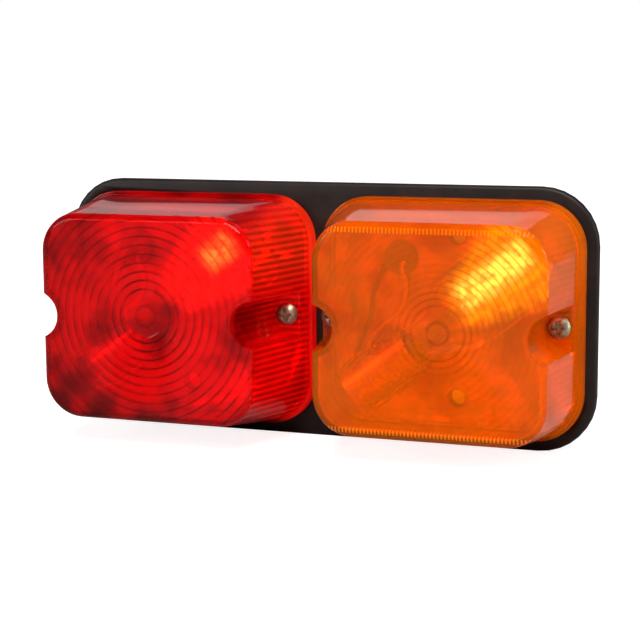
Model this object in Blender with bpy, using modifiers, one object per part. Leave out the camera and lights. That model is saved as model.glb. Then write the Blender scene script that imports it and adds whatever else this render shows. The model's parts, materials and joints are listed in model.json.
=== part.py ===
"""Two-chamber rear lamp for a trailer: a red stop and tail lamp beside an amber indicator.

The frame: X runs along the width, Z is up, and the lenses face -Y. The origin is the middle of the
flat back of the base plate, so the plate fills 0 to -BASE_THICKNESS in Y. A depth is a distance in
front of the plate's front face. Each bulb lies along its own axis, slanting up to the right, and the
pieces around it are made in that axis's frame: local Z along the bulb from its cap to its tip, local
X out towards the lens, and the origin at the light centre.
"""

from math import atan2, ceil, cos, pi, radians, sin, sqrt

import bmesh
import bpy
from mathutils import Matrix, Vector

MM = 0.001
GAP = 0.3 * MM  # clearance left between pieces that touch
FAR = 2 * MM  # how far a cutter reaches past what it cuts

# Base plate
BASE_WIDTH = 195 * MM
BASE_HEIGHT = 90 * MM
BASE_THICKNESS = 3 * MM
BASE_CORNER_RADIUS = 19.7 * MM
BASE_EDGE_ROUND = 1.2 * MM

# Lenses
LENS_DEPTH = 39.7 * MM  # front of the plate to the front of the lens
LENS_WALL = 2.0 * MM
FLANGE_MARGIN_X = 3.75 * MM
FLANGE_MARGIN_Z = 4.3 * MM
FLANGE_BETWEEN = 3.7 * MM  # from one lens to the other, over the middle of the plate
FLANGE_HEIGHT = 4 * MM
FLANGE_STEP = 1 * MM
FLANGE_RADIUS = 16.3 * MM
FRONT_INSET_OUTER = 3.45 * MM  # draft of the wall at the lamp's end
FRONT_INSET_INNER = 7.45 * MM  # draft of the wall beside the other lens
FRONT_INSET_Z = 3.9 * MM
FRONT_CORNER_RADIUS = 13.6 * MM
FRONT_EDGE_ROUND = 3 * MM

# Lens screws, their pockets in the lens and their bosses on the plate
SCREW_EDGE = 6.65 * MM  # screw axis to the outside of the flange
SCREW_RADIUS = 1.95 * MM
SCREW_LENGTH = 12 * MM
SCREW_HEAD_RADIUS = 4 * MM
SCREW_HEAD_HEIGHT = 2.6 * MM
RECESS_WIDTH = 1.1 * MM
RECESS_LENGTH = 4.4 * MM
RECESS_DEPTH = 1.5 * MM
WASHER_THICKNESS = 0.8 * MM
WASHER_RADIUS = 3.6 * MM
POCKET_DEPTH = 10 * MM  # top of the pocket's floor
POCKET_FLOOR = 2.5 * MM
POCKET_RADIUS_FLOOR = 7.9 * MM
POCKET_RADIUS_FRONT = 8.0 * MM
POCKET_SHIFT = 3.5 * MM  # pocket's centre outwards of the screw, at the floor
POCKET_PROUD_INNER = 0.2 * MM  # pocket's centre outside the lens's edge, at the front
POCKET_PROUD_OUTER = 1.8 * MM
BOSS_RADIUS = 3.4 * MM
THREAD_CLEARANCE = 0.2 * MM

# Seals
SEAL_WIDTH = 1.7 * MM
GROOVE_DEPTH = 1.2 * MM

# Reflector trays
SHEET = 0.6 * MM
TRAY_RIM = 3.2 * MM
FIXING_RADIUS = 2.75 * MM
FIXING_RISE = 28 * MM  # fixing holes above and below the middle of each lens

# Bulb and its axis
BULB_TILT = radians(38)
LIGHT_OFFSET_X = 4.9 * MM  # light centre from the middle of the lens's front
LIGHT_OFFSET_Z = 4.4 * MM
GLASS_RADIUS = 12.5 * MM
GLASS_WALL = 0.8 * MM
GLASS_TIP = 14.2 * MM
PIN_TO_LIGHT = 31.8 * MM
PIN_STAGGER = {"red": 3 * MM, "amber": 0 * MM}  # two-filament caps have one lower pin
PIN_RADIUS = 1 * MM
PIN_TO_CONTACT = 6.5 * MM
CAP_RADIUS = 7.5 * MM
CAP_WALL = 0.5 * MM
CAP_LENGTH = 17 * MM
DISC_THICKNESS = 1.6 * MM
NUB_HEIGHT = 0.8 * MM
NUB_RADIUS = 1.9 * MM
LEAD_RADIUS = 0.2 * MM
COIL_RADIUS = 0.5 * MM
COIL_TURNS = 4

# Bulb holder
TWIST = radians(25)
PUSH = 1.2 * MM
SHELL_WALL = 0.8 * MM
SHELL_COVER = 16.5 * MM  # how much of the cap the shell hides
SHELL_LIP = 1.3 * MM
HOLDER_DISC = 2.4 * MM
PLUNGER_HEAD_RADIUS = 2.3 * MM
PLUNGER_HEAD = 0.8 * MM
PLUNGER_STEM_RADIUS = 0.7 * MM
PLUNGER_TAIL = 1.6 * MM
SPRING_LENGTH = 3 * MM
SPRING_WIRE = 0.22 * MM
SPRING_RADIUS = 1.5 * MM
SPRING_TURNS = 3
TERMINAL_RADIUS = 2.4 * MM
TERMINAL_THICKNESS = 0.5 * MM
CONTACT_SPREAD = 3.3 * MM  # contacts either side of the axis, where there are two
BRACKET_SHEET = 1 * MM
BRACKET_LENGTH = 7 * MM
BRACKET_START = -45 * MM
BRACKET_WRAP = radians(110)
BRACKET_FOOT = 7.2 * MM
BRACKET_WEB = 2.4 * MM
GUTTER_CLEARANCE = 0.9 * MM
GUTTER_SHEET = 0.8 * MM
GUTTER_START = -4 * MM
GUTTER_END = 30 * MM
RIVET_RADIUS = 1.2 * MM
RIVET_HEAD_RADIUS = 1.9 * MM
RIVET_HEAD = 0.7 * MM
RIVET_CLEARANCE = 0.3 * MM
RIVET_DEPTH = 1.7 * MM  # how far a rivet enters the plate
BRACKET_RIVET = 4.9 * MM
GUTTER_RIVETS = (20 * MM, 26 * MM)

# Wires and grommets
WIRE_RADIUS = 0.75 * MM
GROMMET_X = -20 * MM  # from the middle of the lens's front
GROMMET_Z = 20 * MM
GROMMET_RADIUS = 4.5 * MM
GROMMET_FLANGE = 1.6 * MM
GROMMET_FLANGE_RADIUS = 6 * MM
GROMMET_RISE = 1.4 * MM
GROMMET_WIRE_CIRCLE = 2.4 * MM
WIRE_HOLE_ANGLES = {"inner": radians(195), "outer": radians(75), "earth": radians(-45)}

# Where the wires run, as X, Z and depth in millimetres, X from the middle of the lens's front
ROUTES = {
    "inner": (
        (-36.9, -24, 11.2),
        (-37, -24, 6.5),
        (-36.3, -22, 3.2),
        (-36.4, -18, 2),
        (-35.9, -12.5, 2),
        (-33.6, -7, 2),
        (-31, 0, 2),
        (-30, 8, 2),
        (-26.8, 14.5, 2.4),
    ),
    "outer": (
        (-33.6, -29.9, 11),
        (-35.6, -29.7, 6.5),
        (-38, -26.2, 2.9),
        (-38.7, -19, 2),
        (-38.3, -13, 2),
        (-36.4, -7.6, 2),
        (-33.4, -2, 2),
        (-32.4, 7, 2),
        (-30.4, 15.6, 2),
        (-26, 22, 3),
    ),
    "earth": (
        (-29.3, -7.2, 2),
        (-25.4, -3.2, 2),
        (-20.2, 1, 2),
        (-18.2, 6.5, 2),
        (-17.9, 12, 2.8),
    ),
}
GROMMET_APPROACH = {
    "inner": (-2.8 * MM, -1.6 * MM),
    "outer": (-3.4 * MM, 0.3 * MM),
    "earth": (0.2 * MM, -3.2 * MM),
}
WIRE_STEP = 3 * MM

# What follows from the sizes above
PLATE_FRONT = -BASE_THICKNESS
FLANGE_HALF_X = (BASE_WIDTH / 2 - FLANGE_MARGIN_X - FLANGE_BETWEEN / 2) / 2
FLANGE_HALF_Z = BASE_HEIGHT / 2 - FLANGE_MARGIN_Z
ROOT_CENTRE = FLANGE_BETWEEN / 2 + FLANGE_HALF_X
WALL_HALF_X = FLANGE_HALF_X - FLANGE_STEP
WALL_HALF_Z = FLANGE_HALF_Z - FLANGE_STEP
FRONT_OUTER = ROOT_CENTRE + WALL_HALF_X - FRONT_INSET_OUTER
FRONT_INNER = ROOT_CENTRE - WALL_HALF_X + FRONT_INSET_INNER
FRONT_CENTRE = (FRONT_OUTER + FRONT_INNER) / 2
FLANGE_WIDTH = FLANGE_STEP + LENS_WALL
SCREW_OUTER = ROOT_CENTRE + FLANGE_HALF_X - SCREW_EDGE
SCREW_INNER = ROOT_CENTRE - FLANGE_HALF_X + SCREW_EDGE
SCREW_SEAT = POCKET_DEPTH + GAP + WASHER_THICKNESS + GAP  # depth of the head's underside
BOSS_HEIGHT = POCKET_DEPTH - POCKET_FLOOR - GAP
TRAY_FLOOR = GAP + SHEET
TRAY_INSET = FLANGE_WIDTH + GAP
GUTTER_INNER = GLASS_RADIUS + GUTTER_CLEARANCE
GUTTER_OUTER = GUTTER_INNER + GUTTER_SHEET
AXIS_DEPTH = TRAY_FLOOR + GAP + GUTTER_OUTER
PIN_Z = -PIN_TO_LIGHT
NUB_TIP = PIN_Z - PIN_TO_CONTACT
CAP_BOTTOM = NUB_TIP + NUB_HEIGHT
CAP_TOP = CAP_BOTTOM + CAP_LENGTH
SHELL_INNER = CAP_RADIUS + 0.2 * MM
SHELL_OUTER = SHELL_INNER + SHELL_WALL
SHELL_TOP = CAP_BOTTOM + SHELL_COVER
PLUNGER_TOP = NUB_TIP - GAP
SPRING_TOP = PLUNGER_TOP - PLUNGER_HEAD - GAP
HOLDER_DISC_TOP = SPRING_TOP - SPRING_LENGTH - GAP
HOLDER_DISC_BOTTOM = HOLDER_DISC_TOP - HOLDER_DISC
SHELL_BOTTOM = HOLDER_DISC_BOTTOM - GAP - SHELL_WALL
TERMINAL_TOP = HOLDER_DISC_BOTTOM - GAP
TERMINAL_BOTTOM = TERMINAL_TOP - TERMINAL_THICKNESS
WIRE_OFFSET = (TERMINAL_RADIUS + PLUNGER_STEM_RADIUS + GAP) / 2  # wire's middle from the stem's

LAMPS = {"red": -1, "amber": 1}
CONTACTS = {
    "red": {"stop": -CONTACT_SPREAD, "tail": CONTACT_SPREAD},
    "amber": {"indicator": 0.0},
}
WIRE_LANES = {"stop": "inner", "indicator": "inner", "tail": "outer", "earth": "earth"}

COLOURS = {
    "black_plastic": ((0.025, 0.02, 0.02), 0.45, 0.0),
    "red_lens": ((0.72, 0.005, 0.008), 0.08, 0.0),
    "amber_lens": ((0.9, 0.16, 0.0), 0.08, 0.0),
    "bright_sheet": ((0.85, 0.86, 0.88), 0.15, 1.0),
    "zinc_steel": ((0.62, 0.6, 0.52), 0.35, 1.0),
    "brass": ((0.75, 0.58, 0.25), 0.3, 1.0),
    "rubber": ((0.02, 0.02, 0.02), 0.8, 0.0),
    "phenolic": ((0.12, 0.05, 0.025), 0.5, 0.0),
    "glass": ((0.95, 0.97, 0.98), 0.02, 0.0),
    "tungsten": ((0.3, 0.3, 0.32), 0.4, 1.0),
    "spring_steel": ((0.4, 0.4, 0.42), 0.3, 1.0),
    "wire_red": ((0.45, 0.01, 0.01), 0.5, 0.0),
    "wire_brown": ((0.12, 0.04, 0.015), 0.5, 0.0),
    "wire_green": ((0.02, 0.2, 0.05), 0.5, 0.0),
    "wire_white": ((0.75, 0.75, 0.72), 0.5, 0.0),
}


# Scene helpers


def clear_scene():
    for thing in list(bpy.data.objects):
        bpy.data.objects.remove(thing, do_unlink=True)


def new_collection(name):
    collection = bpy.data.collections.new(name)
    bpy.context.scene.collection.children.link(collection)
    return collection


def material(name):
    """The named finish, made the first time it is asked for."""
    made = bpy.data.materials.get(name)
    if made:
        return made
    colour, roughness, metallic = COLOURS[name]
    made = bpy.data.materials.new(name)
    made.use_nodes = True
    shader = made.node_tree.nodes["Principled BSDF"]
    shader.inputs["Base Color"].default_value = (*colour, 1)
    shader.inputs["Roughness"].default_value = roughness
    shader.inputs["Metallic"].default_value = metallic
    return made


def add_object(name, data, finish=None, parent=None, location=(0, 0, 0)):
    """An object in the parts' collection, or a cutter where it has no finish."""
    thing = bpy.data.objects.new(name, data)
    thing.location = location
    thing.parent = parent
    if finish:
        parts.objects.link(thing)
        data.materials.append(material(finish))
    else:
        cutters.objects.link(thing)
        thing.hide_render = True
        thing.display_type = "WIRE"
    return thing


def add_axis(name, location, rotation):
    """An empty that holds a moving piece's axis as its local Z."""
    axis = bpy.data.objects.new(name, None)
    axis.empty_display_size = 5 * MM
    axis.location = location
    axis.rotation_euler = rotation
    parts.objects.link(axis)
    return axis


def boolean(target, other, operation="DIFFERENCE"):
    cut = target.modifiers.new(other.name, "BOOLEAN")
    cut.operation = operation
    cut.solver = "EXACT"
    cut.object = other
    return target


# Shape helpers


def rounded_outline(left, right, low, high, radius, steps=5):
    """Points round a rectangle with arcs at its corners, in X and Z."""
    corners = (
        (right - radius, high - radius, 0),
        (left + radius, high - radius, pi / 2),
        (left + radius, low + radius, pi),
        (right - radius, low + radius, 3 * pi / 2),
    )
    points = []
    for x, z, start in corners:
        for step in range(steps + 1):
            angle = start + pi / 2 * step / steps
            points.append((x + radius * cos(angle), z + radius * sin(angle)))
    return points


def circle_outline(x, z, radius, steps=24):
    return [
        (x + radius * cos(2 * pi * k / steps), z + radius * sin(2 * pi * k / steps))
        for k in range(steps)
    ]


def loft_mesh(name, rings):
    """A closed skin through outlines of equal point counts, each a depth and its points."""
    mesh = bmesh.new()
    loops = [
        [mesh.verts.new((x, PLATE_FRONT - depth, z)) for x, z in outline]
        for depth, outline in rings
    ]
    for one, other in zip(loops, loops[1:]):
        for k in range(len(one)):
            after = (k + 1) % len(one)
            mesh.faces.new((one[k], one[after], other[after], other[k]))
    mesh.faces.new(loops[0])
    mesh.faces.new(loops[-1])
    bmesh.ops.recalc_face_normals(mesh, faces=mesh.faces)
    return finish_mesh(name, mesh)


def finish_mesh(name, mesh):
    data = bpy.data.meshes.new(name)
    mesh.to_mesh(data)
    mesh.free()
    data.shade_smooth()
    data.set_sharp_from_angle(angle=radians(35))
    return data


def loft(name, rings, finish=None):
    return add_object(name, loft_mesh(name, rings), finish)


def post(name, x, z, radius, low, high, steps=16):
    """A round cutter standing on the plate, between two depths."""
    outline = circle_outline(x, z, radius, steps)
    return loft(name, [(low, outline), (high, outline)])


def turned(name, profile, finish, parent, location=(0, 0, 0), steps=24, closed=False):
    """A profile of (radius, height) turned about local Z, listed down its outer side."""
    mesh = bmesh.new()
    corners = [mesh.verts.new((radius, 0, height)) for radius, height in profile]
    for one, other in zip(corners, corners[1:]):
        mesh.edges.new((one, other))
    if closed:
        mesh.edges.new((corners[-1], corners[0]))
    data = bpy.data.meshes.new(name)
    mesh.to_mesh(data)
    mesh.free()
    thing = add_object(name, data, finish, parent, location)
    screw = thing.modifiers.new("turn", "SCREW")
    screw.angle = 2 * pi
    screw.steps = steps
    screw.render_steps = steps
    screw.use_merge_vertices = True
    screw.merge_threshold = 0.01 * MM
    screw.use_smooth_shade = True
    return thing


def ring(name, inner, outer, low, high, finish, parent, location=(0, 0, 0), steps=24):
    profile = [(outer, high), (outer, low), (inner, low), (inner, high)]
    return turned(name, profile, finish, parent, location, steps, closed=True)


def rod(name, radius, low, high, parent, location=(0, 0, 0), steps=16):
    """A round cutter along local Z."""
    mesh = bmesh.new()
    turn = Matrix.Translation((0, 0, (low + high) / 2))
    bmesh.ops.create_cone(
        mesh,
        cap_ends=True,
        segments=steps,
        radius1=radius,
        radius2=radius,
        depth=high - low,
        matrix=turn,
    )
    return add_object(name, finish_mesh(name, mesh), None, parent, location)


def block(name, size, centre, parent, turn=None):
    """A box cutter of the given size, its middle at centre, turned about the parent's axis."""
    mesh = bmesh.new()
    place = Matrix.Translation(centre) @ Matrix.Diagonal((*size, 1))
    bmesh.ops.create_cube(mesh, size=1, matrix=(turn or Matrix()) @ place)
    return add_object(name, finish_mesh(name, mesh), None, parent)


def extruded(name, outline, length, finish, parent, start):
    """A flat outline in local X and Y, made length thick along local Z from start."""
    curve = bpy.data.curves.new(name, "CURVE")
    curve.dimensions = "2D"
    curve.fill_mode = "BOTH"
    curve.extrude = length / 2
    spline = curve.splines.new("POLY")
    spline.points.add(len(outline) - 1)
    for point, (x, y) in zip(spline.points, outline):
        point.co = (x, y, 0, 1)
    spline.use_cyclic_u = True
    drawn = bpy.data.objects.new(name + "_outline", curve)
    cutters.objects.link(drawn)
    drawn.parent = parent
    drawn.location = (0, 0, start + length / 2)
    bpy.context.view_layer.update()
    evaluated = drawn.evaluated_get(bpy.context.evaluated_depsgraph_get())
    data = bpy.data.meshes.new_from_object(evaluated)
    data.name = name
    mesh = bmesh.new()
    mesh.from_mesh(data)
    bmesh.ops.remove_doubles(mesh, verts=mesh.verts, dist=0.001 * MM)
    mesh.to_mesh(data)
    mesh.free()
    data.shade_smooth()
    data.set_sharp_from_angle(angle=radians(35))
    data.materials.clear()
    thing = add_object(name, data, finish, parent)
    thing.matrix_world = drawn.matrix_world
    bpy.data.objects.remove(drawn, do_unlink=True)
    return thing


def wire(name, points, radius, finish, parent=None, sides=1):
    """A round wire through the points, as a bevelled curve with filled ends."""
    curve = bpy.data.curves.new(name, "CURVE")
    curve.dimensions = "3D"
    curve.bevel_depth = radius
    curve.bevel_resolution = sides
    curve.use_fill_caps = True
    spline = curve.splines.new("POLY")
    spline.points.add(len(points) - 1)
    for point, place in zip(spline.points, points):
        point.co = (*place, 1)
    spline.use_smooth = True
    return add_object(name, curve, finish, parent)


def smooth_route(points, spacing):
    """Points read off a smooth curve through the given ones, about one every spacing."""
    padded = [points[0] * 2 - points[1], *points, points[-1] * 2 - points[-2]]
    route = [points[0]]
    for before, start, end, after in zip(padded, padded[1:], padded[2:], padded[3:]):
        count = max(1, ceil((end - start).length / spacing))
        for step in range(1, count + 1):
            t = step / count
            place = (
                2 * start
                + (end - before) * t
                + (2 * before - 5 * start + 4 * end - after) * t**2
                + (3 * start - before - 3 * end + after) * t**3
            ) / 2
            route.append(place)
    return route


# Where things are in each lamp


def mirrored(side, inner, outer):
    """A lamp's left and right, from distances to the middle of the plate."""
    return sorted((side * inner, side * outer))


def lens_ring(side, inset):
    """The lens's outline inwards of its flange by inset, all round."""
    left, right = mirrored(side, ROOT_CENTRE - FLANGE_HALF_X, ROOT_CENTRE + FLANGE_HALF_X)
    half_z = FLANGE_HALF_Z - inset
    radius = FLANGE_RADIUS - inset
    return rounded_outline(left + inset, right - inset, -half_z, half_z, radius)


def body_ring(side, share, inset):
    """The lens body's outline at a share of the way from the flange's top to the front."""
    inner = ROOT_CENTRE - WALL_HALF_X + FRONT_INSET_INNER * share + inset
    outer = ROOT_CENTRE + WALL_HALF_X - FRONT_INSET_OUTER * share - inset
    half_z = WALL_HALF_Z - FRONT_INSET_Z * share - inset
    root_radius = FLANGE_RADIUS - FLANGE_STEP
    radius = root_radius + (FRONT_CORNER_RADIUS - root_radius) * share - inset
    left, right = mirrored(side, inner, outer)
    return rounded_outline(left, right, -half_z, half_z, radius)


def body_rings(side, wall, edge_steps=3):
    """Rings up the lens body, wall inside its outer skin, with the front edge rounded."""
    edge = FRONT_EDGE_ROUND - wall
    shoulder = LENS_DEPTH - FRONT_EDGE_ROUND
    rings = []
    for step in range(edge_steps + 1):
        angle = pi / 2 * step / edge_steps
        inset = wall + edge * (1 - cos(angle))
        rings.append((shoulder + edge * sin(angle), body_ring(side, 1.0, inset)))
    return rings


def screw_places(side):
    """Each lens screw's name ending, X, and pocket centres at its floor and at the front."""
    return {
        "inner": (
            side * SCREW_INNER,
            side * (SCREW_INNER - POCKET_SHIFT),
            side * (FRONT_INNER - POCKET_PROUD_INNER),
        ),
        "outer": (
            side * SCREW_OUTER,
            side * (SCREW_OUTER + POCKET_SHIFT),
            side * (FRONT_OUTER + POCKET_PROUD_OUTER),
        ),
    }


def light_centre(side):
    x = side * FRONT_CENTRE + LIGHT_OFFSET_X
    return Vector((x, PLATE_FRONT - AXIS_DEPTH, LIGHT_OFFSET_Z))


def bulb_frame(side):
    """The bulb's frame in the world: local X out, local Z along the bulb."""
    out = Vector((0, -1, 0))
    along = Vector((cos(BULB_TILT), 0, sin(BULB_TILT)))
    across = along.cross(out)
    turn = Matrix((out, across, along)).transposed()
    return Matrix.Translation(light_centre(side)) @ turn.to_4x4()


def rivet_places(side):
    """Rivet names with their X and Z in the world and the depth of what they hold."""
    frame = bulb_frame(side)
    foot_top = TRAY_FLOOR + GAP + BRACKET_SHEET
    gutter_top = TRAY_FLOOR + GAP + GUTTER_SHEET
    middle = BRACKET_START + BRACKET_LENGTH / 2
    spots = {
        "bracket_1": (-BRACKET_RIVET, middle, foot_top),
        "bracket_2": (BRACKET_RIVET, middle, foot_top),
        "gutter_1": (0, GUTTER_RIVETS[0], gutter_top),
        "gutter_2": (0, GUTTER_RIVETS[1], gutter_top),
    }
    places = {}
    for name, (across, along, top) in spots.items():
        point = frame @ Vector((0, across, along))
        places[name] = (point.x, point.z, top)
    return places


def grommet_place(side):
    return side * FRONT_CENTRE + GROMMET_X, GROMMET_Z


def wire_hole(side, name):
    """Where a wire goes through its grommet, in X and Z."""
    x, z = grommet_place(side)
    angle = WIRE_HOLE_ANGLES[WIRE_LANES[name]]
    return x + GROMMET_WIRE_CIRCLE * cos(angle), z + GROMMET_WIRE_CIRCLE * sin(angle)


def wire_names(lamp):
    return [*CONTACTS[lamp], "earth"]


# The pieces


def make_base_plate():
    """The moulded plate, with a rounded front edge, seal grooves and screw bosses."""
    half_x = BASE_WIDTH / 2
    half_z = BASE_HEIGHT / 2

    def outline(inset):
        radius = BASE_CORNER_RADIUS - inset
        return rounded_outline(inset - half_x, half_x - inset, inset - half_z, half_z - inset, radius, 8)

    rings = [(-BASE_THICKNESS, outline(0))]
    for step in range(4):
        angle = pi / 2 * step / 3
        inset = BASE_EDGE_ROUND * (1 - cos(angle))
        rings.append((-BASE_EDGE_ROUND * (1 - sin(angle)), outline(inset)))
    plate = loft("base_plate", rings, "black_plastic")
    for lamp, side in LAMPS.items():
        add_bosses(plate, lamp, side)
        cut_groove(plate, lamp, side)
        cut_plate_holes(plate, lamp, side)
    return plate


def add_bosses(plate, lamp, side):
    for end, (x, _, _) in screw_places(side).items():
        boss = post(f"boss_{lamp}_{end}", x, 0, BOSS_RADIUS, -1.2 * MM, BOSS_HEIGHT)
        boolean(plate, boss, "UNION")
    for end, (x, _, _) in screw_places(side).items():
        tip = SCREW_SEAT - SCREW_LENGTH
        radius = SCREW_RADIUS + THREAD_CLEARANCE
        boolean(plate, post(f"boss_hole_{lamp}_{end}", x, 0, radius, tip - 2 * GAP, BOSS_HEIGHT + FAR))


def cut_groove(plate, lamp, side):
    middle = FLANGE_WIDTH / 2
    half = SEAL_WIDTH / 2 + GAP
    groove = loft(
        f"groove_{lamp}",
        [(-GROOVE_DEPTH, lens_ring(side, middle - half)), (FAR, lens_ring(side, middle - half))],
    )
    island = loft(
        f"groove_island_{lamp}",
        [(-GROOVE_DEPTH - FAR, lens_ring(side, middle + half)), (2 * FAR, lens_ring(side, middle + half))],
    )
    boolean(groove, island)
    boolean(plate, groove)


def cut_plate_holes(plate, lamp, side):
    through = -BASE_THICKNESS - FAR
    for name, (x, z, _) in rivet_places(side).items():
        radius = RIVET_RADIUS + RIVET_CLEARANCE
        boolean(plate, post(f"rivet_hole_{lamp}_{name}", x, z, radius, -RIVET_DEPTH - GAP, FAR, 12))
    for end, sign in (("low", -1), ("high", 1)):
        x = side * FRONT_CENTRE
        boolean(plate, post(f"fixing_hole_{lamp}_{end}", x, sign * FIXING_RISE, FIXING_RADIUS, through, FAR))
    x, z = grommet_place(side)
    boolean(plate, post(f"grommet_hole_{lamp}", x, z, GROMMET_RADIUS + GAP, through, FAR))


def make_lens(lamp, side):
    """A deep drafted cover with a stepped flange and a screw pocket in each end wall."""
    rings = [
        (GAP, lens_ring(side, 0)),
        (FLANGE_HEIGHT, lens_ring(side, 0)),
        (FLANGE_HEIGHT, lens_ring(side, FLANGE_STEP)),
        *body_rings(side, 0.0),
    ]
    lens = loft(f"lens_{lamp}", rings, f"{lamp}_lens")
    foot = lens_ring(side, FLANGE_WIDTH)
    cavity_rings = [(-FAR, foot), (FLANGE_HEIGHT, foot), *body_rings(side, LENS_WALL)]
    cavity = loft(f"lens_cavity_{lamp}", cavity_rings)
    for end, (_, floor_x, front_x) in screw_places(side).items():
        core_floor = POCKET_DEPTH - POCKET_FLOOR
        core = pocket_cone(f"pocket_core_{lamp}_{end}", floor_x, front_x, core_floor, LENS_WALL)
        boolean(cavity, core)
    boolean(lens, cavity)
    for end, (screw_x, floor_x, front_x) in screw_places(side).items():
        name = f"{lamp}_{end}"
        boolean(lens, pocket_cone(f"pocket_{name}", floor_x, front_x, POCKET_DEPTH, 0.0))
        radius = BOSS_RADIUS + GAP
        boolean(lens, post(f"boss_room_{name}", screw_x, 0, radius, -FAR, BOSS_HEIGHT + GAP))
        radius = SCREW_RADIUS + THREAD_CLEARANCE + 0.15 * MM
        boolean(lens, post(f"lens_hole_{name}", screw_x, 0, radius, 0, POCKET_DEPTH + FAR))
    return lens


def pocket_cone(name, floor_x, front_x, floor_depth, more):
    """The round pocket for a lens screw, from its floor out past the front of the lens."""
    reach = LENS_DEPTH + FAR
    share = (reach - POCKET_DEPTH) / (LENS_DEPTH - POCKET_DEPTH)
    back = (floor_depth - POCKET_DEPTH) / (LENS_DEPTH - POCKET_DEPTH)

    def outline(t):
        x = floor_x + (front_x - floor_x) * t
        radius = POCKET_RADIUS_FLOOR + (POCKET_RADIUS_FRONT - POCKET_RADIUS_FLOOR) * t
        return circle_outline(x, 0, radius + more, 28)

    return loft(name, [(floor_depth, outline(back)), (reach, outline(share))])


def make_seal(lamp, side):
    """A flat rubber ring in its groove, under the lens's flange."""
    middle = FLANGE_WIDTH / 2
    half = SEAL_WIDTH / 2
    low = GAP - GROOVE_DEPTH
    outside = lens_ring(side, middle - half)
    inside = lens_ring(side, middle + half)
    seal = loft(f"lens_seal_{lamp}", [(low, outside), (0, outside)], "rubber")
    hollow = loft(f"seal_hollow_{lamp}", [(low - FAR, inside), (FAR, inside)])
    return boolean(seal, hollow)


def make_lens_screws(lamp, side):
    """A pan-head screw and its washer in each pocket, turning about the screw's own axis."""
    for end, (x, _, _) in screw_places(side).items():
        name = f"{lamp}_{end}"
        axis = add_axis(f"screw_axis_{name}", (x, PLATE_FRONT - SCREW_SEAT, 0), (pi / 2, 0, 0))
        crown = SCREW_HEAD_HEIGHT
        profile = [
            (0, crown),
            (SCREW_HEAD_RADIUS * 0.55, crown * 0.94),
            (SCREW_HEAD_RADIUS * 0.85, crown * 0.7),
            (SCREW_HEAD_RADIUS, crown * 0.35),
            (SCREW_HEAD_RADIUS, 0),
            (SCREW_RADIUS, 0),
            (SCREW_RADIUS, 2 * MM - SCREW_LENGTH),
            (0.4 * MM, -SCREW_LENGTH),
            (0, -SCREW_LENGTH),
        ]
        screw = turned(f"lens_screw_{name}", profile, "zinc_steel", axis, steps=16)
        for number in range(2):
            size = (RECESS_LENGTH, RECESS_WIDTH, RECESS_DEPTH + FAR)
            centre = (0, 0, crown - RECESS_DEPTH / 2 + FAR / 2)
            turn = Matrix.Rotation(number * pi / 2, 4, "Z")
            boolean(screw, block(f"slot_{name}_{number}", size, centre, axis, turn))
        inner = SCREW_RADIUS + GAP
        low = -GAP - WASHER_THICKNESS
        ring(f"lens_washer_{name}", inner, WASHER_RADIUS, low, -GAP, "rubber", axis, steps=16)


def make_tray(lamp, side):
    """A bright pressed tray that lines the plate inside the rib, cleared for all that stands on it."""
    outside = lens_ring(side, TRAY_INSET)
    inside = lens_ring(side, TRAY_INSET + SHEET)
    tray = loft(f"reflector_tray_{lamp}", [(GAP, outside), (TRAY_RIM, outside)], "bright_sheet")
    hollow = loft(f"tray_hollow_{lamp}", [(TRAY_FLOOR, inside), (TRAY_RIM + FAR, inside)])
    boolean(tray, hollow)
    clear = 2 * GAP
    for end, (x, _, _) in screw_places(side).items():
        boolean(tray, post(f"tray_boss_{lamp}_{end}", x, 0, BOSS_RADIUS + clear, -FAR, TRAY_RIM + FAR))
    for name, (x, z, _) in rivet_places(side).items():
        radius = RIVET_RADIUS + RIVET_CLEARANCE
        boolean(tray, post(f"tray_rivet_{lamp}_{name}", x, z, radius, -FAR, FAR))
    for end, sign in (("low", -1), ("high", 1)):
        radius = FIXING_RADIUS + clear
        place = sign * FIXING_RISE
        boolean(tray, post(f"tray_fixing_{lamp}_{end}", side * FRONT_CENTRE, place, radius, -FAR, FAR))
    x, z = grommet_place(side)
    boolean(tray, post(f"tray_grommet_{lamp}", x, z, GROMMET_FLANGE_RADIUS + GAP, -FAR, FAR))
    return tray


def arc(radius, start, end, steps):
    """Points on an arc about the bulb's axis, its angles counted from the side facing the plate."""
    angles = [start + (end - start) * k / steps for k in range(steps + 1)]
    return [(-radius * cos(angle), radius * sin(angle)) for angle in angles]


def drill_rivets(target, lamp, side, kind):
    """Clearance holes for the rivets that hold a piece to the plate."""
    for name, (x, z, _) in rivet_places(side).items():
        if name.startswith(kind):
            radius = RIVET_RADIUS + RIVET_CLEARANCE
            boolean(target, post(f"{kind}_drill_{lamp}_{name}", x, z, radius, -FAR, 2 * FAR, 12))
    return target


def make_gutter(lamp, side, axis):
    """The half-round reflector under the bulb, running on up to the corner of the lens."""
    outer = arc(GUTTER_OUTER, -pi / 2, pi / 2, 20)
    inner = arc(GUTTER_INNER, pi / 2, -pi / 2, 20)
    length = GUTTER_END - GUTTER_START
    name = f"reflector_gutter_{lamp}"
    gutter = extruded(name, outer + inner, length, "bright_sheet", axis, GUTTER_START)
    return drill_rivets(gutter, lamp, side, "gutter")


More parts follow.
